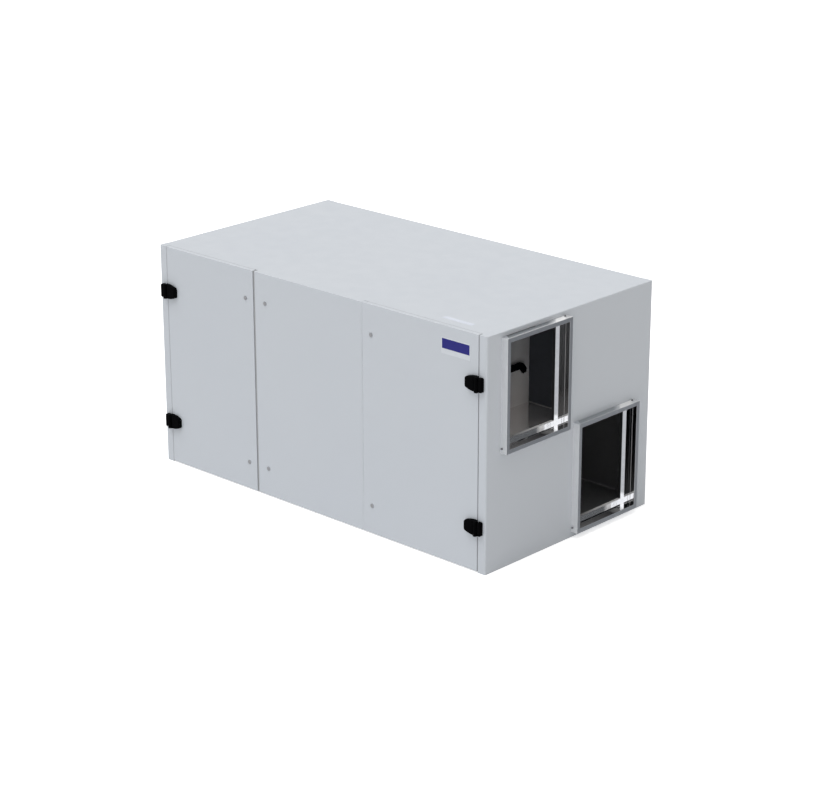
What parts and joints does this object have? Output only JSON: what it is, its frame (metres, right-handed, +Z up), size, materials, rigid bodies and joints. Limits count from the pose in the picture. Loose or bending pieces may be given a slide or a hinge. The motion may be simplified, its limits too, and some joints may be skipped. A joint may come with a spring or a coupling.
{
  "type": "air handling unit",
  "caption": "Box-shaped air handling unit with insulated panels, two hinged front doors, a fixed cover between them, quarter-turn locks and rectangular duct frames on both ends.",
  "frame": {"origin": "centre of the casing's footprint on the floor", "axes": "+X along the front to the right, +Y from the front to the back, +Z up"},
  "size_m": [2.166, 1.164, 1.1],
  "materials": {
    "painted_panel": "satin pale grey",
    "galvanised_frame": "bright galvanised",
    "galvanised_liner": "bright galvanised",
    "black_hinge": "moulded black",
    "black_handle": "moulded black",
    "lock_metal": "die-cast, satin"
  },
  "bodies": {
    "casing": {"floor_panel": "painted_panel", "front_left_post": "painted_panel", "front_right_post": "painted_panel", "left_back_panel": "painted_panel", "left_bulkhead": "galvanised_liner", "left_bulkhead_handle": "black_handle", "left_cross_wall": "galvanised_liner", "left_deck": "galvanised_liner", "left_end_wall": "painted_panel", "left_lower_duct_frame": "galvanised_frame", "left_lower_hinge_post_half": "black_hinge", "left_mullion": "painted_panel", "left_partition": "galvanised_liner", "left_top_panel": "painted_panel", "left_upper_duct_frame": "galvanised_frame", "left_upper_hinge_post_half": "black_hinge", "middle_cover": "painted_panel", "middle_cover_lower_lock": "lock_metal", "middle_cover_upper_lock": "lock_metal", "right_back_panel": "painted_panel", "right_bulkhead": "galvanised_liner", "right_bulkhead_handle": "black_handle", "right_cross_wall": "galvanised_liner", "right_deck": "galvanised_liner", "right_end_wall": "painted_panel", "right_lower_duct_frame": "galvanised_frame", "right_lower_hinge_post_half": "black_hinge", "right_mullion": "painted_panel", "right_partition": "galvanised_liner", "right_top_panel": "painted_panel", "right_upper_duct_frame": "galvanised_frame", "right_upper_hinge_post_half": "black_hinge"},
    "left_door": {"left_door": "painted_panel", "left_door_lower_lock": "lock_metal", "left_door_upper_lock": "lock_metal", "left_lower_hinge_door_half": "black_hinge", "left_upper_hinge_door_half": "black_hinge"},
    "right_door": {"right_door": "painted_panel", "right_door_lower_lock": "lock_metal", "right_door_upper_lock": "lock_metal", "right_lower_hinge_door_half": "black_hinge", "right_upper_hinge_door_half": "black_hinge"}
  },
  "joints": [
    {"name": "left_door_hinge", "type": "hinge", "parent": "casing", "child": "left_door", "pos_m": [-1.0005, -0.586, 0.54], "axis": [0, 0, -1], "range_deg": [0, 120]},
    {"name": "right_door_hinge", "type": "hinge", "parent": "casing", "child": "right_door", "pos_m": [1.0005, -0.586, 0.54], "axis": [0, 0, 1], "range_deg": [0, 120]}
  ]
}
